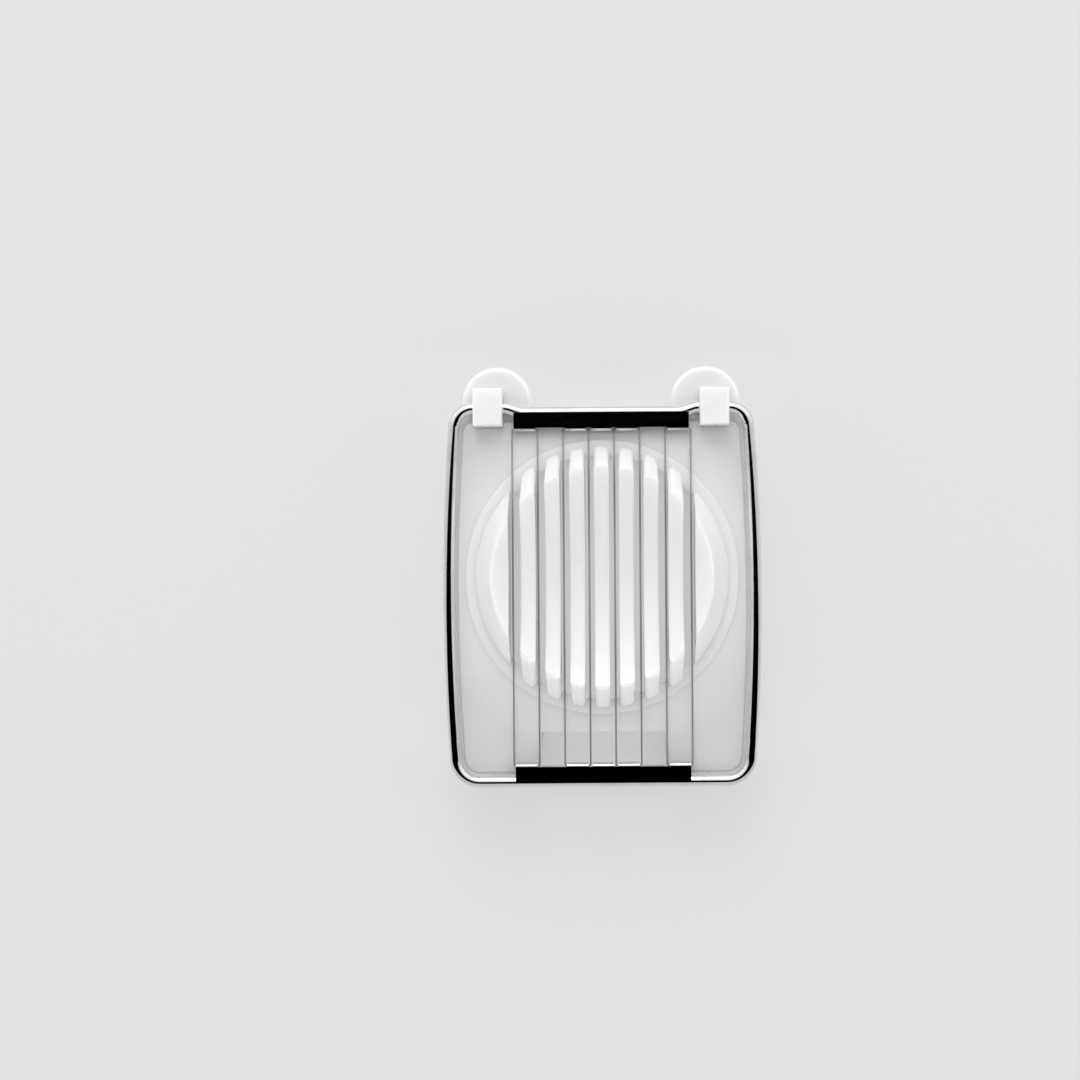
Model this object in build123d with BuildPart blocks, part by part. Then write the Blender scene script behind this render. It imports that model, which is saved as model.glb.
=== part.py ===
from build123d import *
from math import sqrt
import os

# Egg cutter, closed. +X is right, +Y is towards the hinge at the rear, +Z is up, in millimetres.
# The origin is on the table, under the middle of the whole cutter.

# Wire frame: a bent rod that turns in two hinge clips
rod_diameter = 3.0
wire_level = 18.0  # height of the wires and of the hinge axis
hinge_y = 43.4
frame_length = 96.6  # hinge axis to front bar
bar_set_forward = 1.2  # the rear bar between the clips lies this far in front of the axis
side_bar_x = 39.7
side_bow_radius = 600.0
side_bow_y = -5.0  # where the bowed side bars are widest apart
front_corner_radius = 11.5
rear_corner_radius = 5.0
jog_length = 3.4
jog_bend_radius = 4.0

# Wires: four closed loops, each giving two cutting runs
loop_count = 4
wire_pitch = 6.6
wire_diameter = 0.5
wire_clearance = 0.02

# Comb strips: a flat plate with tongues bent down, on which the loops hang
sheet_thickness = 0.5
comb_width = 4.9  # from the bar to the faces of the tongues
comb_inset = 0.5  # the strip ends this far inside the outermost wire
comb_seat = 0.15  # how deep the rod beds into the strip at the weld
tongue_bend_radius = 0.9
tongue_root = 0.6  # overlap of tongue and plate, before the bend
tongue_tail = 0.5  # how far a tongue reaches below the wire
tongue_side_gap = 0.35  # between a tongue's side and the wire beside it

# Base tray
wall_thickness = 1.8
rod_gap = 0.3  # between the closed rod and the ledge under it
deck_rise = 0.8  # deck above the ledge
deck_inset = 0.7  # deck edge to rod
deck_edge_bevel = 0.3
ceiling_drop = 2.2  # underside of the deck, below its face
foot_flare = 0.8
rear_foot_x = 27.1
rear_foot_setback = 2.0  # foot centre behind the hinge axis
rear_foot_radius = 9.3
rear_foot_draft = 0.3
rear_foot_round = 1.2
rib_thickness = 1.5
rib_spacing = 24.0

# Bowl: a crown of seven slats and two cheeks
bowl_y = -0.4
bowl_floor_rise = 1.6  # bowl floor above the wires
bowl_depth = 7.9
rim_radius = 27.6
rim_land = 0.8
rim_bevel = 0.25
cheek_foot_radius = 32.9
tip_foot_radius = 33.8  # the slats' tips reach a little further out than the cheeks
ring_gap = 2.1  # between the ring round the crown and the rear tongues
ring_height = 0.45
ring_bevel = 0.3
pitch_difference = 0.32  # slats stand this much closer together than the wires
slot_clearance = 0.2  # wire to slat where the two come closest
outer_slot_extra = 0.55  # outermost slots are wider, on the cheek side
slat_tip_round = 1.2
slat_depth = 9.0  # slats reach this far below the deck
slat_core_width = 1.4
slat_core_roof = 1.0
drum_radius = 31.5
drum_wall = 1.6
cheek_wall = 1.8

# Finger notch in the front edge
notch_width = 32.5
notch_depth = 12.8  # from the front bar into the deck
notch_corner = 0.8
notch_floor = 6.0
well_wall = 1.6

# Hinge clips
clip_x = 29.15
clip_width = 7.5
clip_length = 9.5
clip_height = 5.5
clip_edge_round = 0.6
running_clearance = 0.05
clip_leg_width = 5.3
clip_leg_thickness = 1.4
clip_barb = 0.8
clip_barb_height = 1.6
clip_slot_clearance = 0.2
clip_rear_slit = 0.35  # gap that shows behind each clip

# Room that a cutter or a straight run gets past the shape it works on
cut_margin = 1.0
snap = 0.1  # tolerance when corners are picked by their place

# Levels and places that follow from the sizes above
rod_radius = rod_diameter / 2
wire_radius = wire_diameter / 2
front_bar_y = hinge_y - frame_length
rear_bar_y = hinge_y - bar_set_forward
ledge_level = wire_level - rod_radius - rod_gap
deck_level = ledge_level + deck_rise
ceiling_level = deck_level - ceiling_drop
wire_count = 2 * loop_count
run_offset = (wire_count - 1) / 2
outer_wire_x = run_offset * wire_pitch
slat_pitch = wire_pitch - pitch_difference
slot_width = 2 * ((run_offset - 1) * pitch_difference + wire_radius + slot_clearance)
slat_width = slat_pitch - slot_width
cheek_x = run_offset * slat_pitch + slot_width / 2 + outer_slot_extra
comb_half_length = outer_wire_x - comb_inset
tongue_width = wire_pitch - wire_diameter - 2 * tongue_side_gap
tongue_pitch = 2 * wire_pitch
loop_inset = comb_width - sheet_thickness - wire_radius - wire_clearance  # bar to the loop's end
rear_tongue_y = rear_bar_y - comb_width
ring_radius = rear_tongue_y - ring_gap - bowl_y
ring_level = deck_level + ring_height
bowl_floor = wire_level + bowl_floor_rise
rim_level = bowl_floor + bowl_depth
bowl_radius = (rim_radius**2 + bowl_depth**2) / (2 * bowl_depth)
slat_bottom = deck_level - slat_depth
rear_foot_y = hinge_y + rear_foot_setback


def side_x(y):
    """Distance of a bowed side bar's centre from the middle plane, at y."""
    return side_bar_x - side_bow_radius + sqrt(side_bow_radius**2 - (y - side_bow_y) ** 2)


def bowed_plan(rear_y, grow):
    """Rounded plan with bowed sides under the frame rod, moved outwards by grow."""
    with BuildSketch() as plan:
        with BuildLine():
            front = (side_x(front_bar_y), front_bar_y)
            rear = (side_x(rear_y), rear_y)
            Line((-front[0], front[1]), front)
            ThreePointArc(front, (side_bar_x, side_bow_y), rear)
            Line(rear, (-rear[0], rear[1]))
            ThreePointArc((-rear[0], rear[1]), (-side_bar_x, side_bow_y), (-front[0], front[1]))
        make_face()
        fillet(plan.vertices().group_by(Axis.Y)[0], radius=front_corner_radius)
        fillet(plan.vertices().group_by(Axis.Y)[-1].filter_by(lambda v: abs(v.X) > rear[0] - snap),
               radius=rear_corner_radius)
        offset(amount=grow)
    return plan.sketch


# The frame rod, one closed bend
with BuildSketch() as rod_plan:
    with BuildLine():
        front_end = (side_x(front_bar_y), front_bar_y)
        rear_end = (side_x(hinge_y), hinge_y)
        journal_end = (clip_x - clip_width / 2 - cut_margin, hinge_y)
        bar_end = (journal_end[0] - jog_length, rear_bar_y)
        ThreePointArc(front_end, (side_bar_x, side_bow_y), rear_end)
        Polyline(rear_end, journal_end, bar_end, (0, rear_bar_y))
        Line(front_end, (0, front_bar_y))
        mirror(about=Plane.YZ)
    make_face()
    corners = rod_plan.vertices().group_by(Axis.Y)
    fillet(corners[0].filter_by(lambda v: abs(v.X) > snap), radius=front_corner_radius)
    rear_corners = rod_plan.vertices().filter_by(lambda v: v.Y > rear_bar_y - snap)
    fillet(rear_corners.filter_by(lambda v: abs(v.X) > clip_x), radius=rear_corner_radius)
    jogs = rod_plan.vertices().filter_by(lambda v: v.Y > rear_bar_y - snap)
    fillet(jogs.filter_by(lambda v: snap < abs(v.X) < clip_x), radius=jog_bend_radius)

rod_path = Pos(0, 0, wire_level) * rod_plan.face().outer_wire()
with BuildPart() as frame_hoop:
    with BuildSketch(rod_path ^ 0):
        Circle(rod_radius)
    sweep(path=rod_path)
frame_hoop.part.label = "frame_hoop"


def comb_strip(bar_y, inward):
    """Stamped strip welded along the top of a bar, with four tongues; inward is +1 or -1."""
    top = wire_level + rod_radius - comb_seat + sheet_thickness
    under = top - sheet_thickness
    face = bar_y + inward * comb_width
    back = face - inward * sheet_thickness
    plate_edge = face - inward * tongue_bend_radius
    root = plate_edge - inward * tongue_root
    tip = wire_level - wire_radius - tongue_tail
    with BuildPart() as comb:
        with BuildSketch(Plane.YZ):
            with Locations(((bar_y + plate_edge) / 2, (top + under) / 2)):
                Rectangle(abs(plate_edge - bar_y), sheet_thickness)
        extrude(amount=comb_half_length, both=True)
        with BuildSketch(Plane.YZ) as tongue:
            with BuildLine():
                Polyline((root, top), (face, top), (face, tip), (back, tip), (back, under),
                         (root, under), close=True)
            make_face()
            fillet(tongue.vertices().sort_by_distance((face, top))[0], radius=tongue_bend_radius)
            fillet(tongue.vertices().sort_by_distance((back, under))[0],
                   radius=tongue_bend_radius - sheet_thickness)
        for index in range(loop_count):
            place = (index - (loop_count - 1) / 2) * tongue_pitch
            with BuildSketch(Plane.YZ.offset(place)):
                add(tongue.sketch_local)
            extrude(amount=tongue_width / 2, both=True)
        add(frame_hoop.part, mode=Mode.SUBTRACT)
    return comb


rear_comb = comb_strip(rear_bar_y, -1)
rear_comb.part.label = "rear_comb"
front_comb = comb_strip(front_bar_y, 1)
front_comb.part.label = "front_comb"

# Four taut loops of wire, each hung behind a tongue of both combs
wire_loops = []
loop_rear = rear_bar_y - loop_inset
loop_front = front_bar_y + loop_inset
for index in range(loop_count):
    centre_x = (index - (loop_count - 1) / 2) * tongue_pitch
    with BuildSketch() as loop_plan:
        with Locations((centre_x, (loop_rear + loop_front) / 2)):
            Rectangle(wire_pitch, loop_rear - loop_front)
    loop_path = Pos(0, 0, wire_level) * loop_plan.face().outer_wire()
    with BuildPart() as wire_loop:
        with BuildSketch(loop_path ^ 0):
            Circle(wire_radius)
        sweep(path=loop_path, transition=Transition.RIGHT)
    wire_loop.part.label = f"wire_loop_{index + 1}"
    wire_loops.append(wire_loop.part)

# Rear foot under each hinge clip
with BuildPart() as rear_foot:
    Cone(rear_foot_radius, rear_foot_radius - rear_foot_draft, ledge_level,
         align=(Align.CENTER, Align.CENTER, Align.MIN))
    fillet(rear_foot.edges().group_by(Axis.Z)[-1], radius=rear_foot_round)

# Crown of the bowl, before its slots are cut; the ball lies on its side, so no pole meets a slat
ball_centre = (0, 0, bowl_floor + bowl_radius)
ball_turn = (0, -90, 0)
with BuildPart() as crown:
    with BuildSketch(Plane.XZ) as crown_profile:
        with BuildLine():
            Polyline((0, rim_level), (0, slat_bottom), (drum_radius + drum_wall, slat_bottom),
                     (drum_radius + drum_wall, deck_level), (ring_radius, deck_level),
                     (ring_radius, ring_level - ring_bevel), (ring_radius - ring_bevel, ring_level),
                     (cheek_foot_radius, ring_level), (rim_radius + rim_land, rim_level - rim_bevel),
                     (rim_radius + rim_land - rim_bevel, rim_level), close=True)
        make_face()
    revolve(axis=Axis.Z)
    with Locations(ball_centre):
        Sphere(bowl_radius, rotation=ball_turn, mode=Mode.SUBTRACT)


def strip_rows(width, places, length):
    """Plan of straight strips along Y at the given x places."""
    with BuildSketch() as rows:
        with Locations([(x, 0) for x in places]):
            Rectangle(width, length)
    return rows.sketch


slat_places = [(i - (wire_count - 2) / 2) * slat_pitch for i in range(wire_count - 1)]
slot_places = [(i - run_offset) * slat_pitch for i in range(1, wire_count - 1)]
outer_slot_place = cheek_x - (slot_width + outer_slot_extra) / 2


def slat_body(x):
    """One slat: a strip along Y whose flat sloping ends follow the crown's outline, with rounded tips."""
    rim_end_radius = rim_radius + rim_land
    foot_reach = sqrt(tip_foot_radius**2 - x**2)
    rim_reach = sqrt(rim_end_radius**2 - x**2)
    slant = x / sqrt(((tip_foot_radius + rim_end_radius) / 2) ** 2 - x**2)
    across = Vector(1, -slant, 0)
    up = Vector(0, rim_reach - foot_reach, rim_level - ring_level)
    end_plane = Plane(origin=(x, foot_reach, ring_level), x_dir=across, z_dir=across.cross(up))
    with BuildPart() as slat:
        with Locations((x, 0, ring_level)):
            Box(slat_width, 2 * tip_foot_radius, rim_level - ring_level,
                align=(Align.CENTER, Align.MIN, Align.MIN))
        split(bisect_by=end_plane, keep=Keep.TOP)
        tip = slat.faces().sort_by(Axis.Y)[-1]
        fillet(tip.edges().filter_by(lambda e: e.bounding_box().size.Z > snap), radius=slat_tip_round)
        mirror(about=Plane.XZ)
        with Locations(ball_centre):
            Sphere(bowl_radius, rotation=ball_turn, mode=Mode.SUBTRACT)
    return slat.part


# What is cut away: the whole crown between the cheeks, then the slots through the deck
with BuildPart() as slots:
    with BuildSketch(Plane.XY.offset(ring_level)):
        Rectangle(2 * cheek_x, 3 * ring_radius)
    extrude(amount=rim_level - ring_level + cut_margin)
    with BuildSketch(Plane.XY.offset(slat_bottom - cut_margin)):
        add(strip_rows(slot_width, slot_places, 3 * ring_radius))
        add(strip_rows(slot_width + outer_slot_extra, (-outer_slot_place, outer_slot_place),
                       3 * ring_radius))
        Circle(drum_radius, mode=Mode.INTERSECT)
    extrude(amount=ring_level - slat_bottom + cut_margin)

with BuildPart() as cheek_hollow:
    with BuildSketch(Plane.XZ):
        with BuildLine():
            Polyline((0, slat_bottom - cut_margin), (drum_radius, slat_bottom - cut_margin),
                     (drum_radius, deck_level),
                     (rim_radius + rim_land - cheek_wall, rim_level), (0, rim_level), close=True)
        make_face()
    revolve(axis=Axis.Z)
    with Locations(ball_centre):
        Sphere(bowl_radius + cheek_wall, rotation=ball_turn, mode=Mode.SUBTRACT)
    Box(2 * (cheek_x + cheek_wall), 4 * ring_radius, 4 * rim_level, mode=Mode.SUBTRACT)

with BuildPart() as slat_cores:
    with BuildSketch(Plane.XY.offset(slat_bottom - cut_margin)):
        add(strip_rows(slat_core_width, slat_places, 2 * ring_radius))
        Circle(drum_radius - drum_wall, mode=Mode.INTERSECT)
    extrude(amount=bowl_floor - cheek_wall - slat_core_roof - slat_bottom + cut_margin)

with BuildPart() as slotted_crown:
    add(crown.part)
    add(slots.part, mode=Mode.SUBTRACT)
    add([slat_body(x) for x in slat_places])
    add(cheek_hollow.part, mode=Mode.SUBTRACT)
    add(slat_cores.part, mode=Mode.SUBTRACT)

# Base tray with its deck, feet and finger notch
with BuildPart() as base:
    with BuildSketch():
        add(bowed_plan(rear_bar_y, foot_flare))
    with BuildSketch(Plane.XY.offset(ledge_level)):
        add(bowed_plan(rear_bar_y, 0))
    loft(ruled=True)
    with Locations((-rear_foot_x, rear_foot_y), (rear_foot_x, rear_foot_y)):
        add(rear_foot.part)
    with BuildSketch(Plane.XY.offset(ledge_level)) as deck_plan:
        add(bowed_plan(rear_bar_y, -rod_radius - deck_inset))
    extrude(amount=deck_rise)
    chamfer(base.edges().group_by(Axis.Z)[-1], length=deck_edge_bevel)
    # Pads that carry the clips
    with BuildSketch(Plane.XY.offset(ceiling_level)):
        with Locations((-clip_x, hinge_y), (clip_x, hinge_y)):
            Rectangle(clip_width, clip_length)
    extrude(amount=deck_level - ceiling_level)
    # Hollow underside
    with BuildSketch():
        add(bowed_plan(rear_bar_y, -wall_thickness))
        with Locations((-rear_foot_x, rear_foot_y), (rear_foot_x, rear_foot_y)):
            Circle(rear_foot_radius - rear_foot_draft - wall_thickness)
    extrude(amount=ceiling_level, mode=Mode.SUBTRACT)
    # Finger well, ribs and drum under the deck
    with BuildSketch(Plane.XY.offset(notch_floor)):
        with Locations((0, front_bar_y + wall_thickness)):
            Rectangle(notch_width + 2 * well_wall, notch_depth + well_wall - wall_thickness,
                      align=(Align.CENTER, Align.MIN))
    extrude(amount=ceiling_level - notch_floor)
    with BuildSketch(Plane.XY.offset(slat_bottom)):
        with Locations((0, bowl_y + rib_spacing / 2), (0, bowl_y - rib_spacing / 2)):
            Rectangle(2 * (side_bar_x - wall_thickness), rib_thickness)
    extrude(amount=ceiling_level - slat_bottom)
    with BuildSketch(Plane.XY.offset(slat_bottom - cut_margin)):
        with Locations((0, bowl_y)):
            Circle(drum_radius)
    extrude(amount=deck_level - slat_bottom + 2 * cut_margin, mode=Mode.SUBTRACT)
    with Locations((0, bowl_y)):
        add(slotted_crown.part)
    with BuildSketch(Plane.XY.offset(notch_floor)) as notch:
        with Locations((0, front_bar_y + notch_depth)):
            Rectangle(notch_width, 2 * notch_depth, align=(Align.CENTER, Align.MAX))
        fillet(notch.vertices().group_by(Axis.Y)[-1], radius=notch_corner)
    extrude(amount=rim_level, mode=Mode.SUBTRACT)
    # Saddles for the rod and slots for the clip legs
    with Locations((-clip_x, hinge_y, wire_level), (clip_x, hinge_y, wire_level)):
        Cylinder(rod_radius + running_clearance, clip_width + 2 * cut_margin, rotation=(0, 90, 0),
                 mode=Mode.SUBTRACT)
    slot_length = clip_leg_thickness + clip_slot_clearance + clip_rear_slit
    with BuildSketch(Plane.XY.offset(ceiling_level - cut_margin)):
        for side in (-1, 1):
            with Locations((side * clip_x, hinge_y + clip_length / 2 + clip_rear_slit)):
                Rectangle(clip_leg_width + 2 * clip_slot_clearance, slot_length,
                          align=(Align.CENTER, Align.MAX))
            with Locations((side * clip_x, hinge_y - clip_length / 2)):
                Rectangle(clip_leg_width + 2 * clip_slot_clearance, slot_length,
                          align=(Align.CENTER, Align.MIN))
    extrude(amount=deck_level - ceiling_level + 2 * cut_margin, mode=Mode.SUBTRACT)
base.part.label = "base"


def hinge_clip(name, x):
    """Snap-in cap over a journal: a block with the bore in its underside and two barbed legs."""
    with BuildPart() as clip:
        with BuildSketch(Plane.XY.offset(deck_level)):
            with Locations((x, hinge_y)):
                Rectangle(clip_width, clip_length)
        extrude(amount=clip_height)
        fillet(clip.edges().group_by(Axis.Z)[-1], radius=clip_edge_round)
        for end in (-1, 1):
            leg_face = hinge_y + end * (clip_length / 2 - clip_slot_clearance / 2)
            leg_back = leg_face - end * clip_leg_thickness
            barb_top = ceiling_level - clip_slot_clearance
            barb_y = leg_face + end * clip_barb
            with BuildSketch(Plane.YZ.offset(x)):
                with BuildLine():
                    Polyline((leg_back, deck_level), (leg_face, deck_level), (leg_face, barb_top),
                             (barb_y, barb_top), (leg_face, barb_top - clip_barb_height),
                             (leg_back, barb_top - clip_barb_height), close=True)
                make_face()
            extrude(amount=clip_leg_width / 2, both=True)
        with Locations((x, hinge_y, wire_level)):
            Cylinder(rod_radius + running_clearance, clip_width + 2 * cut_margin, rotation=(0, 90, 0),
                     mode=Mode.SUBTRACT)
    clip.part.label = name
    return clip.part


hinge_clips = [hinge_clip("hinge_clip_left", -clip_x), hinge_clip("hinge_clip_right", clip_x)]

os.makedirs("parts", exist_ok=True)
for piece in [base.part, frame_hoop.part, rear_comb.part, front_comb.part, *wire_loops, *hinge_clips]:
    export_step(piece, f"parts/{piece.label}.step")
    low, high = piece.bounding_box().min, piece.bounding_box().max
    print(f"{piece.label}: {len(piece.solids())} solid, {piece.volume:.1f} mm3, valid {piece.is_valid}")
    print(f"  {low.X:.2f} {low.Y:.2f} {low.Z:.2f} to {high.X:.2f} {high.Y:.2f} {high.Z:.2f}")
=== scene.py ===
# %% [markdown]
# # An egg cutter in white plastic, chrome and wire
# The cutter is a moulded tray with a slotted bowl, and a chrome-plated hoop strung with taut wires
# that swings down on it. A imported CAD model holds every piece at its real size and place, in metres
# once it is here. This notebook dresses that model: it gives each piece a finish, turns the rod and
# the tray round tighter front corners, bends the wires anew with round corners, and sets up the
# floor, the light and the camera. Loading the CAD first means that little has to be fitted by eye:
# each new piece reads its place from the frame.
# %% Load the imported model
import math

import bmesh
import bpy
from mathutils import Matrix, Vector


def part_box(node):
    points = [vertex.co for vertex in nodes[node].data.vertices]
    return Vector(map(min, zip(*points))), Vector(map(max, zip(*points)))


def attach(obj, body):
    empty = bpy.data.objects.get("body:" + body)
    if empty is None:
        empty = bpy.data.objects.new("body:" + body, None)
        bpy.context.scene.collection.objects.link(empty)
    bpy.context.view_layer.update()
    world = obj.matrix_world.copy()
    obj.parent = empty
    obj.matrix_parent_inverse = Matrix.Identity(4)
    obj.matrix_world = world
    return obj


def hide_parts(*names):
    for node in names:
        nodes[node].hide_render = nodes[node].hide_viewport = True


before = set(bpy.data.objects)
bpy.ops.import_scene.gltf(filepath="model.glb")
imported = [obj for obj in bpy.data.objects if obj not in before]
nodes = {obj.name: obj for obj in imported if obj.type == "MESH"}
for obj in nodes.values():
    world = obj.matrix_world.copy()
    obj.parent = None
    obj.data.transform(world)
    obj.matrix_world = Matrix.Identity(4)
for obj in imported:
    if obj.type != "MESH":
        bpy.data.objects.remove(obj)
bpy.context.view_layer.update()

MM = 0.001
print("nodes:", ", ".join(sorted(nodes)))

# %% [markdown]
# ## Shader arithmetic
# Every finish below mixes noise, masks and colours. Written as raw nodes that is long and hard to
# read. A small class that wraps one socket and understands + - * lets the mix be written as the
# formula that it is, and a second class makes any other node in one line: its type, the settings
# that must come first, and what goes into its sockets.
# %% A socket that can be added and multiplied
class Signal:
    """One output of a shader node. Arithmetic on it adds Math nodes."""

    def __init__(self, tree, socket):
        self.tree = tree
        self.socket = socket

    def combine(self, operation, first, second):
        node = self.tree.nodes.new("ShaderNodeMath")
        node.operation = operation
        for entry, value in zip(node.inputs, (first, second)):
            plug(self.tree, entry, value)
        return Signal(self.tree, node.outputs[0])

    def __add__(self, other):
        return self.combine("ADD", self, other)

    def __sub__(self, other):
        return self.combine("SUBTRACT", self, other)

    def __rsub__(self, other):
        return self.combine("SUBTRACT", other, self)

    def __mul__(self, other):
        return self.combine("MULTIPLY", self, other)

    __radd__ = __add__
    __rmul__ = __mul__


def plug(tree, entry, value):
    """Link a Signal into a socket, or set the socket's own value."""
    if isinstance(value, Signal):
        tree.links.new(value.socket, entry)
    else:
        entry.default_value = value


# %% A material or world whose nodes are made one line at a time
class Finish:
    """The node tree of a material, or of the world."""

    def __init__(self, owner):
        owner.use_nodes = True
        self.owner = owner
        self.tree = owner.node_tree
        self.tree.nodes.clear()

    def node(self, kind, settings=None, inputs=None, output=None):
        """Add a node: its type, its settings, its sockets by name, and which output to hand back."""
        node = self.tree.nodes.new("ShaderNode" + kind)
        for name, value in (settings or {}).items():
            setattr(node, name, value)
        for name, value in (inputs or {}).items():
            entry = next(item for item in node.inputs if item.name == name and item.enabled)
            plug(self.tree, entry, value)
        usable = [item for item in node.outputs if item.enabled and output in (None, item.name)]
        return Signal(self.tree, usable[0]) if usable else node

    def place(self):
        return self.node("TexCoord", output="Object")

    def noise(self, scale, detail=2.0, stretch=(1.0, 1.0, 1.0)):
        """Soft noise on the object's own coordinates; scale counts features per metre."""
        spot = self.node("Mapping", None, {"Vector": self.place(), "Scale": stretch})
        return self.node("TexNoise", None, {"Vector": spot, "Scale": scale, "Detail": detail}, "Fac")

    def axis(self, name):
        return self.node("SeparateXYZ", None, {"Vector": self.place()}, name)

    def ramp(self, value, start, end):
        """0 where value is below start, 1 above end, straight between; start may be above end."""
        return self.node("MapRange", {"clamp": True},
                         {"Value": value, "From Min": start, "From Max": end}, "Result")

    def blend(self, share, first, second):
        """A colour between two others."""
        return self.node("Mix", {"data_type": "RGBA"}, {"Factor": share, "A": first, "B": second}, "Result")

    def bump(self, height, depth, strength=1.0):
        return self.node("Bump", None, {"Height": height, "Distance": depth, "Strength": strength})

    def surface(self, **inputs):
        """Finish a material with a Principled surface; underscores in names stand for spaces."""
        named = {name.replace("_", " "): value for name, value in inputs.items()}
        shader = self.node("BsdfPrincipled", None, named)
        self.node("OutputMaterial", None, {"Surface": shader})
        print("finish", self.owner.name, "uses", len(self.tree.nodes), "nodes")
        return self.owner


# %% [markdown]
# ## White plastic
# The tray is moulded in one shot of white plastic. Such a skin is never one flat white: it flows
# into the mould in faint clouds, carries the grain of the polished steel, and picks up hairline
# scuffs where it stands and where the wires rub. The thin deck lets some light through into the
# dark hollow below; that loss is painted in as shade, which greys the deck against the deep slats,
# most of all at the corners. The walls inside the drum, below the deck, get a faint painted glow
# for the light that soaks through them. A noise for each of the marks, on the object's own
# coordinates, keeps them fixed to the plastic when the camera moves.
# %% Sizes that the plastic finish reads from the frame
hoop_low, hoop_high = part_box("frame_hoop")
hoop_level = (hoop_low[2] + hoop_high[2]) / 2
deck_ring = hoop_level - 0.5 * MM
SOAK_DEPTH = 2.0 * MM
# painted light: how strongly the plastic inside the drum, below the deck, glows for light soaking through
# its thin walls
PAINTED_GLOW_STRENGTH = 0.11
# how much darker the painted shade makes the deck over the hollow
HOLLOW_SHADE_SHARE = 2.25
BOWL_Y = -0.4 * MM
DRUM_REACH = 34.0 * MM  # the slots end just inside this distance from the bowl's middle, and the painted glow stays inside it
LEDGE_TOP, DECK_FROM = 16.2 * MM, 16.6 * MM  # the deck's painted shade fades in between these levels
RIM_TOP = 1.4 * MM  # the tray's lower rim is worn up to here
HOLLOW_FROM, HOLLOW_FULL = 37.0 * MM, 47.0 * MM  # further out the deck roofs an empty hollow, and its painted shade is darker
print("hoop level", round(hoop_level / MM, 2), "mm")


# %% White plastic, for the tray and for the clips
def white_plastic(name, bright, dim, painted_deck_shade, gloss, wear):
    """Moulded white plastic; a share of painted shade greys the thin deck, wear scuffs the whole."""
    finish = Finish(bpy.data.materials.new(name))
    clouds = finish.noise(70.0, 3.0)
    grain = finish.noise(1600.0, 2.0)
    height = finish.axis("Z")
    across, along = finish.axis("X"), finish.axis("Y") - BOWL_Y
    spread = across * across + along * along
    hollow = finish.ramp(spread, HOLLOW_FROM**2, HOLLOW_FULL**2)
    below_ring = finish.ramp(height, deck_ring, deck_ring - 0.2 * MM)
    deck = below_ring * finish.ramp(height, LEDGE_TOP, DECK_FROM)
    colour = finish.blend(clouds, (*bright, 1.0), (*dim, 1.0))
    # painted shade: the deck is blended towards dark grey, more over the hollow, for the light it loses
    shaded = finish.blend(deck * (hollow * HOLLOW_SHADE_SHARE + 1.0) * painted_deck_shade, colour, (0.30, 0.31, 0.31, 1.0))
    worn_rim = finish.ramp(height, RIM_TOP, 0.0) * finish.noise(500.0, 4.0)
    worn = finish.blend(worn_rim * 0.5, shaded, (0.52, 0.50, 0.47, 1.0))
    scuffs = finish.noise(260.0, 5.0, (1.0, 1.0, 0.15))
    scuffed = finish.ramp(scuffs, 0.58, 0.72) * wear
    roughness = clouds * 0.10 + scuffed * 0.12 + worn_rim * 0.2 + gloss
    bump = finish.bump(grain * 0.6 + scuffed * 0.4 + clouds * 0.5, 0.02 * MM, 0.5)
    # painted light: a faint glow on the drum's walls below the deck, which are no lamp
    in_drum = finish.ramp(spread, DRUM_REACH**2, (DRUM_REACH - 0.5 * MM)**2)
    painted_glow_share = finish.ramp(height, deck_ring - 0.3 * MM, deck_ring - 1.5 * MM) * in_drum * PAINTED_GLOW_STRENGTH
    glow = finish.blend(painted_glow_share, (0.0, 0.0, 0.0, 1.0), (1.0, 1.0, 1.0, 1.0))
    return finish.surface(Base_Color=worn, Roughness=roughness, Normal=bump, IOR=1.49,
                          Emission_Color=glow, Emission_Strength=1.0, Subsurface_Weight=1.0,
                          Subsurface_Scale=SOAK_DEPTH, Subsurface_Radius=(1.0, 1.0, 1.0))


# the tray's deck gets 0.08 of painted shade, the clips none
tray_plastic = white_plastic("white_plastic", (0.89, 0.90, 0.89), (0.84, 0.85, 0.84), 0.08, 0.27, 1.0)
clip_plastic = white_plastic("clip_plastic", (0.90, 0.90, 0.90), (0.86, 0.86, 0.86), 0.0, 0.22, 0.1)

# %% [markdown]
# ## Chrome and wire
# Chrome plate is a mirror with a slightly warm grey face. What makes it look real is how it fails:
# a faint orange peel from the steel below, fine wiping marks, and a duller bloom near worn edges.
# The wires are drawn steel, so their marks run along them and their shine is broader.
# %% Chrome for the rod and the combs, steel for the wires
def chrome(name, tone, haze, peel, wear):
    """Plated mirror finish: haze is its roughness, peel its unevenness, wear how much it is wiped."""
    finish = Finish(bpy.data.materials.new(name))
    bloom = finish.noise(180.0, 4.0)
    wiping = finish.ramp(finish.noise(900.0, 5.0, (0.12, 1.0, 1.0)), 0.55, 0.8)
    dulled = tuple(part * 0.72 for part in tone)
    colour = finish.blend(finish.ramp(bloom, 0.5, 0.8) * 0.5 + wiping * 0.25, (*tone, 1.0), (*dulled, 1.0))
    roughness = (bloom * 0.05 + wiping * 0.12) * wear + haze
    bump = finish.bump(bloom + wiping * (0.2 * wear), peel * MM)
    return finish.surface(Base_Color=colour, Metallic=1.0, Roughness=roughness, Normal=bump)


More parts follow.
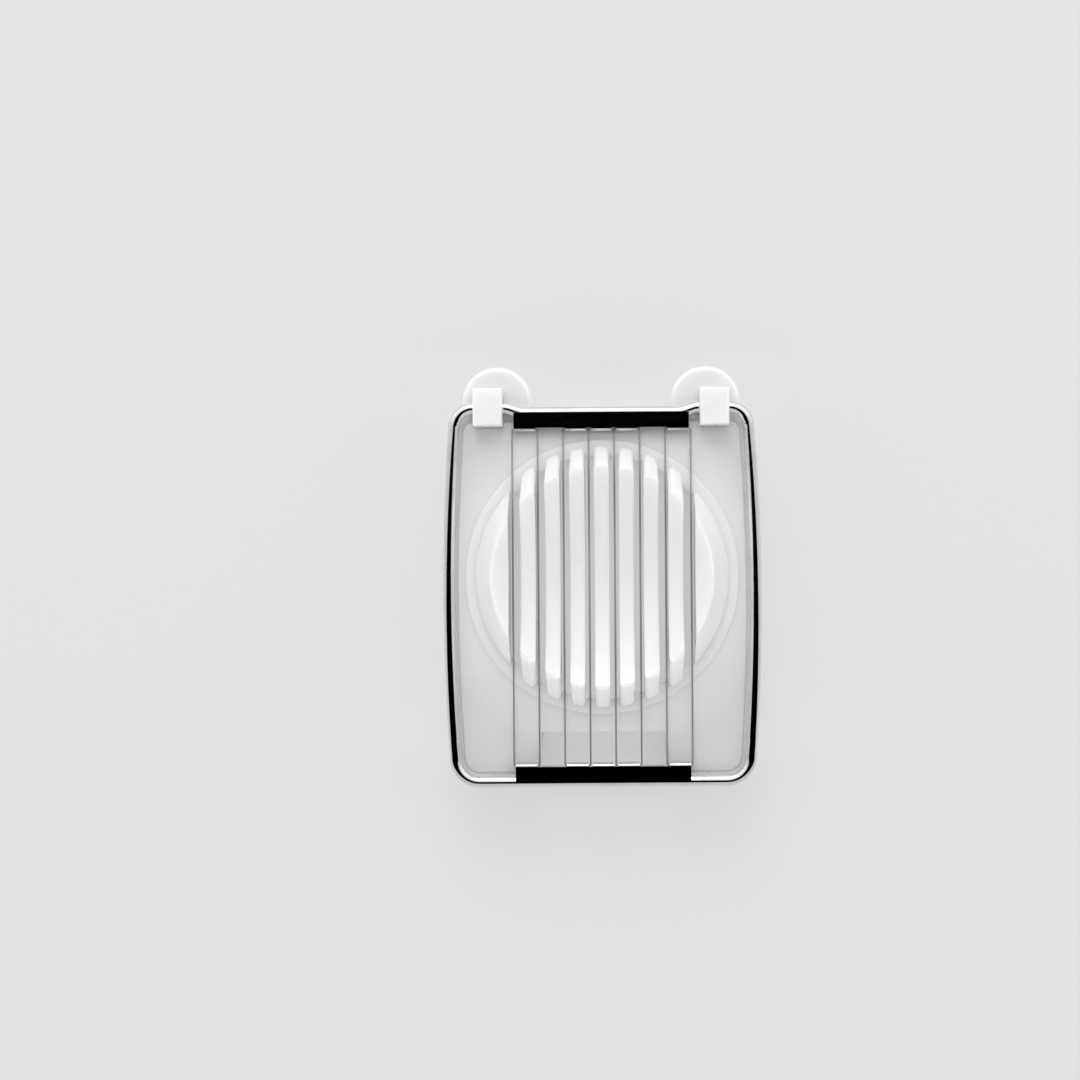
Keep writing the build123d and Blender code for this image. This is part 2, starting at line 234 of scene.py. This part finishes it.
def drawn_steel(name):
    """Drawn wire: fine marks along Y, where the cutting runs lie."""
    finish = Finish(bpy.data.materials.new(name))
    lines = finish.noise(6000.0, 3.0, (1.0, 0.02, 1.0))
    stain = finish.noise(300.0, 3.0, (1.0, 0.3, 1.0))
    colour = finish.blend(stain, (0.62, 0.62, 0.63, 1.0), (0.48, 0.48, 0.49, 1.0))
    roughness = lines * 0.15 + stain * 0.08 + 0.30
    bump = finish.bump(lines, 0.004 * MM)
    return finish.surface(Base_Color=colour, Metallic=1.0, Roughness=roughness, Normal=bump)


rod_chrome = chrome("chrome_rod", (0.80, 0.80, 0.82), 0.05, 0.010, 0.4)
# the strips get a darker, purplish tone than the rod: painted shade that deepens the black their flat faces
# mirror from the gap overhead
strip_chrome_painted_dark = chrome("chrome_strip", (0.62, 0.60, 0.63), 0.02, 0.002, 0.3)
wire_steel = drawn_steel("steel_wire")

# %% Give each CAD node its finish
finishes = {"base": tray_plastic, "hinge_clip": clip_plastic, "frame_hoop": rod_chrome,
            "comb": strip_chrome_painted_dark, "wire_loop": wire_steel}
for name, node in nodes.items():
    finish = next(finishes[key] for key in finishes if key in name)
    for holder in node.material_slots:
        holder.material = finish
    print(name, "is finished in", finish.name)

# %% [markdown]
# ## Front corners
# The rod turns the two front corners in a tight bend, and the tray's edge, ledge and deck follow it.
# The CAD model has a wider bend there. The tray and the rod could be modelled anew, but everything
# else on them is right, so a merged copy of each is bent instead: picture a roller in the corner that
# is smaller than the old one. It runs a short way beside the front bar, turns, and runs on beside the
# side bar. Each vertex keeps its distance from the rod's centre line, so the rod stays round, and its
# shading normal turns by as much as the bend does.
# %% Where the wide bend lies and where the tight one goes
WIDE_BEND = 11.5 * MM
TIGHT_BEND = 6.3 * MM
BOW_RADIUS = 600.0 * MM
BOW_Y = -5.0 * MM
INNER_REACH = 3.0 * MM  # the deck's edge is the innermost part that follows the bend
SLIVER = 0.001 * MM
END_SHARE = 1 / 15  # share of the old bend, at each end, that becomes a straight run
rod_radius = (hoop_high[2] - hoop_low[2]) / 2
front_y = hoop_low[1] + rod_radius
bow_x = hoop_high[0] - rod_radius - BOW_RADIUS


def bend_facts(radius):
    """Centre of a bend that touches the front bar and the bowed side bar, and its side end's angle."""
    y = front_y + radius
    x = bow_x + math.sqrt((BOW_RADIUS - radius) ** 2 - (y - BOW_Y) ** 2)
    return Vector((x, y)), math.atan2(y - BOW_Y, x - bow_x)


wide_centre, wide_end = bend_facts(WIDE_BEND)
tight_centre, tight_end = bend_facts(TIGHT_BEND)
FRONT = -math.pi / 2
side_touch = wide_centre + Vector((math.cos(wide_end), math.sin(wide_end))) * (WIDE_BEND - TIGHT_BEND)
stations = ((0.0, Vector((wide_centre.x, tight_centre.y)), FRONT), (END_SHARE, tight_centre, FRONT),
            (1 - END_SHARE, tight_centre, tight_end), (1.0, side_touch, wide_end))
for label, spot in (("wide", wide_centre), ("tight", tight_centre)):
    print("centre of the", label, "bend in mm:", [round(value / MM, 2) for value in spot])


# %% Carry the corners of a merged copy onto the tight bend
def roll(place):
    """New place of a vertex, and how far its normal turns; the left half is mirrored in and out."""
    side = math.copysign(1.0, place.x)
    arm = Vector((place.x * side, place.y)) - wide_centre
    angle = math.atan2(arm.y, arm.x)
    share = (angle - FRONT) / (wide_end - FRONT)
    if not 0.0 <= share <= 1.0 or arm.length < WIDE_BEND - INNER_REACH:
        return place, 0.0
    start, end = next(pair for pair in zip(stations, stations[1:]) if share <= pair[1][0])
    part = (share - start[0]) / (end[0] - start[0])
    centre = start[1].lerp(end[1], part)
    turned = start[2] + (end[2] - start[2]) * part
    spot = centre + Vector((math.cos(turned), math.sin(turned))) * (TIGHT_BEND + arm.length - WIDE_BEND)
    return Vector((spot.x * side, spot.y, place.z)), (turned - angle) * side


def tighten(name, node_name, body, finish):
    """Replace a CAD node by a merged copy with tight front corners."""
    mesh = nodes[node_name].data.copy()
    mesh.name = name
    normals = [corner.vector.copy() for corner in mesh.corner_normals]
    shape = bmesh.new()
    shape.from_mesh(mesh)
    bmesh.ops.remove_doubles(shape, verts=shape.verts, dist=SLIVER)
    turns = []
    for vert in shape.verts:
        vert.co, turn = roll(vert.co.copy())
        turns.append(Matrix.Rotation(turn, 3, "Z"))
    shape.to_mesh(mesh)
    shape.free()
    same_corners = len(mesh.loops) == len(normals)
    if same_corners:
        mesh.normals_split_custom_set([turns[corner.vertex_index] @ normal
                                       for corner, normal in zip(mesh.loops, normals)])
    piece = bpy.data.objects.new(name, mesh)
    bpy.context.scene.collection.objects.link(piece)
    mesh.materials.clear()
    mesh.materials.append(finish)
    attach(piece, body)
    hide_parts(node_name)
    print(name, "has", len(mesh.polygons), "faces, normals kept:", same_corners)


tighten("tray", "base", "base", tray_plastic)
tighten("bent_rod", "frame_hoop", "wire_frame", rod_chrome)

# %% [markdown]
# ## Cutting wires
# Each loop is one taut wire that runs from the rear comb to the front comb and back, round a tongue
# at each end. A profile could be swept along a curve, but the loop has only two kinds of stretch,
# so a small ring of edges is enough: extrude it along each straight run, spin it a quarter turn
# round each bend, and merge the last ring with the first.
# %% Bend the wire loops
RING_SIDES = 16
BEND_STEPS = 8
BEND_RADIUS = 0.5 * MM


def ring_edges(verts):
    """The edges that join a ring of vertices, each once."""
    chosen = set(verts)
    joining = (edge for vert in verts for edge in vert.link_edges if chosen.issuperset(edge.verts))
    return list(dict.fromkeys(joining))


def settle_order(shape):
    """Number vertices and faces by their places, so that every run writes the same mesh."""
    sorts = ((shape.verts, lambda vert: vert.co), (shape.faces, lambda face: face.calc_center_median()))
    for items, place in sorts:
        ranked = sorted(items, key=lambda item: [round(value / SLIVER) for value in place(item)])
        for number, item in enumerate(ranked):
            item.index = number
        items.sort()


def bend_wire(name, node):
    """A closed round loop in the box that a CAD loop fills."""
    low, high = (Vector(corner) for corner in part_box(node))
    gauge = (high.z - low.z) / 2
    centre = (low + high) / 2
    half = Vector((high.x - low.x, high.y - low.y)) / 2 - Vector((gauge, gauge))
    wire = bmesh.new()
    start = bmesh.ops.create_circle(wire, segments=RING_SIDES, radius=gauge)["verts"]
    bmesh.ops.rotate(wire, verts=start, cent=(0, 0, 0),
                     matrix=Vector((0, 0, 1)).rotation_difference(Vector((0, 1, 0))).to_matrix())
    bmesh.ops.translate(wire, verts=start, vec=(half.x, BEND_RADIUS - half.y, 0))
    ring = start
    for turn in range(4):
        run = 2 * ((half.x, half.y)[(turn + 1) % 2] - BEND_RADIUS)
        heading = Vector((-math.sin(turn * math.pi / 2), math.cos(turn * math.pi / 2), 0))
        grown = bmesh.ops.extrude_edge_only(wire, edges=ring_edges(ring))["geom"]
        ring = [item for item in grown if isinstance(item, bmesh.types.BMVert)]
        bmesh.ops.translate(wire, verts=ring, vec=heading * run)
        inward = Vector((-heading.y, heading.x, 0))
        middle = sum((vert.co for vert in ring), Vector()) / len(ring)
        spun = bmesh.ops.spin(wire, geom=ring + ring_edges(ring), cent=middle + inward * BEND_RADIUS,
                              axis=(0, 0, 1), angle=math.pi / 2, steps=BEND_STEPS)["geom_last"]
        ring = [item for item in spun if isinstance(item, bmesh.types.BMVert)]
    bmesh.ops.remove_doubles(wire, verts=wire.verts, dist=gauge / 50)
    bmesh.ops.recalc_face_normals(wire, faces=wire.faces)
    bmesh.ops.translate(wire, verts=wire.verts, vec=centre)
    settle_order(wire)
    for face in wire.faces:
        face.smooth = True
    mesh = bpy.data.meshes.new(name)
    wire.to_mesh(mesh)
    wire.free()
    loop = bpy.data.objects.new(name, mesh)
    bpy.context.scene.collection.objects.link(loop)
    mesh.materials.append(wire_steel)
    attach(loop, "wire_frame")
    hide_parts(node)
    print(name, "has", len(mesh.polygons), "faces, wire", round(2 * gauge / MM, 2), "mm thick")


for number in range(1, 5):
    bend_wire(f"cutting_wire_{number}", f"wire_loop_{number}")

# %% [markdown]
# ## Floor and light
# The photograph is a soft studio shot from straight above: bright walls all round, a light behind
# the hinge, and a dark gap overhead where the camera hangs. The gap is long from left to right and
# lies a little to the front: the side bars carry a black stripe that is broad in front and thin
# behind, the front bar a thin one, and flat chrome looks black.
# The world does the walls and the gap, one soft lamp does the rest. The floor is a plain
# pale sheet; part of its colour is shown to camera, mirror and glass rays as plain light, which
# makes the background pale without putting more light on the object.
# %% Floor
FLOOR_GLOW = 0.75
GLOW_SHARE = 0.60
floor_mesh = bpy.data.meshes.new("floor")
floor_sheet = bmesh.new()
bmesh.ops.create_grid(floor_sheet, x_segments=1, y_segments=1, size=3.0)
floor_sheet.to_mesh(floor_mesh)
floor_sheet.free()
floor = bpy.data.objects.new("floor", floor_mesh)
bpy.context.scene.collection.objects.link(floor)


def seen_directly(finish):
    """1 for camera, mirror and glass rays, 0 for the soft light that falls on the object."""
    kinds = ("Camera", "Glossy", "Transmission")
    seen = [finish.node("LightPath", output=f"Is {kind} Ray") for kind in kinds]
    return seen[0] + seen[1] + seen[2]


def pale_floor():
    finish = Finish(bpy.data.materials.new("floor_paper"))
    fibres = finish.noise(900.0, 3.0)
    tone = finish.blend(fibres, (0.80, 0.80, 0.80, 1.0), (0.82, 0.82, 0.82, 1.0))
    paper = finish.node("BsdfDiffuse", None, {"Color": tone})
    glow = finish.node("Emission", None, {"Color": (FLOOR_GLOW, FLOOR_GLOW, FLOOR_GLOW, 1.0)})
    share = seen_directly(finish) * GLOW_SHARE
    shown = finish.tree.nodes.new("ShaderNodeMixShader")
    for entry, value in zip(shown.inputs, (share, paper, glow)):
        plug(finish.tree, entry, value)
    finish.node("OutputMaterial", None, {"Surface": Signal(finish.tree, shown.outputs[0])})
    return finish.owner


floor_mesh.materials.append(pale_floor())
print("floor is", floor.dimensions.x, "m wide")

# %% World: bright walls, and a long dark gap overhead
WALL_LIGHT = 1.15
FRONT_LIGHT = 0.22  # the front wall gives this much more soft light
SIDE_SHEEN = 0.65  # what mirror rays see of the walls: grey at the sides, bright at the rear
REAR_SHEEN = 1.15
GAP_LIGHT = 0.0
GAP_MIDDLE = -0.20  # a little in front of the zenith, on a dome of radius 1
GAP_DEPTH = 0.325  # half the gap from front to rear
GAP_BREADTH = 0.92  # half the gap from left to right
GAP_EDGE = (1.02, 0.98)  # where it starts to darken and where it is full, as shares of its outline

studio = Finish(bpy.data.worlds.new("studio"))
bpy.context.scene.world = studio.owner


def dome(axis):
    """One coordinate of the direction of a ray, on a unit dome."""
    return studio.node("SeparateXYZ", None, {"Vector": studio.node("TexCoord", output="Generated")}, axis)


along = (dome("Y") - GAP_MIDDLE) * (1 / GAP_DEPTH)
aside = dome("X") * (1 / GAP_BREADTH)
outline = along * along + aside * aside
gap = studio.ramp(outline, *(edge**2 for edge in GAP_EDGE)) * studio.ramp(dome("Z"), 0.0, 0.1)
sheen = studio.ramp(dome("Y"), 0.1, 0.5) * (REAR_SHEEN - SIDE_SHEEN) + SIDE_SHEEN
camera_ray, mirror_ray = (studio.node("LightPath", output=f"Is {kind} Ray") for kind in ("Camera", "Glossy"))
soft = studio.ramp(dome("Y"), -0.2, -0.7) * FRONT_LIGHT + WALL_LIGHT
walls = mirror_ray * (sheen - soft) + soft
lit = walls - gap * (walls - GAP_LIGHT)
strength = lit * (1.0 - camera_ray) + camera_ray
backdrop = studio.node("Background", None, {"Color": (1.0, 1.0, 1.0, 1.0), "Strength": strength})
studio.node("OutputWorld", None, {"Surface": backdrop})
print("world made")


# %% One soft lamp behind the hinge
def softbox(name, place, size, power):
    """A square area lamp that faces the cutter."""
    lamp = bpy.data.lights.new(name, "AREA")
    lamp.shape = "SQUARE"
    lamp.size = size
    lamp.energy = power
    holder = bpy.data.objects.new(name, lamp)
    bpy.context.scene.collection.objects.link(holder)
    holder.location = place
    holder.rotation_euler = (Vector(place) * -1).to_track_quat("-Z", "Y").to_euler()
    print(name, "gives", power, "W")


softbox("rear_softbox", (-0.05, 0.75, 0.62), 0.5, 2.3)

# %% [markdown]
# ## Camera
# The photograph looks straight down from about 40 cm. A long lens from far away would hide the
# perspective that makes the tall bowl look larger than its foot, so the real distance is kept, and
# the lens follows from it. The cutter stands off the picture's middle, which the shift takes up
# without turning the camera.
# %% Camera
SENSOR = 36.0
PICTURE = 1080.0
CAMERA_HEIGHT = 0.400
FOCAL_PIXELS = 1476.0
AXIS_PIXEL = (615.0, 578.0)
AXIS_POINT = (3.3 * MM, -0.65 * MM)
ROLL_DEGREES = 0.4

view = bpy.data.cameras.new("view")
view.sensor_width = SENSOR
view.lens = FOCAL_PIXELS / PICTURE * SENSOR
view.shift_x = (PICTURE / 2 - AXIS_PIXEL[0]) / PICTURE
view.shift_y = (AXIS_PIXEL[1] - PICTURE / 2) / PICTURE
camera = bpy.data.objects.new("view", view)
camera.location = (*AXIS_POINT, CAMERA_HEIGHT)
camera.rotation_euler = (0.0, 0.0, math.radians(-ROLL_DEGREES))
bpy.context.scene.collection.objects.link(camera)
bpy.context.scene.camera = camera
bpy.context.scene.view_settings.view_transform = "Standard"
print("lens", round(view.lens, 2), "mm, shift", round(view.shift_x, 4), round(view.shift_y, 4))
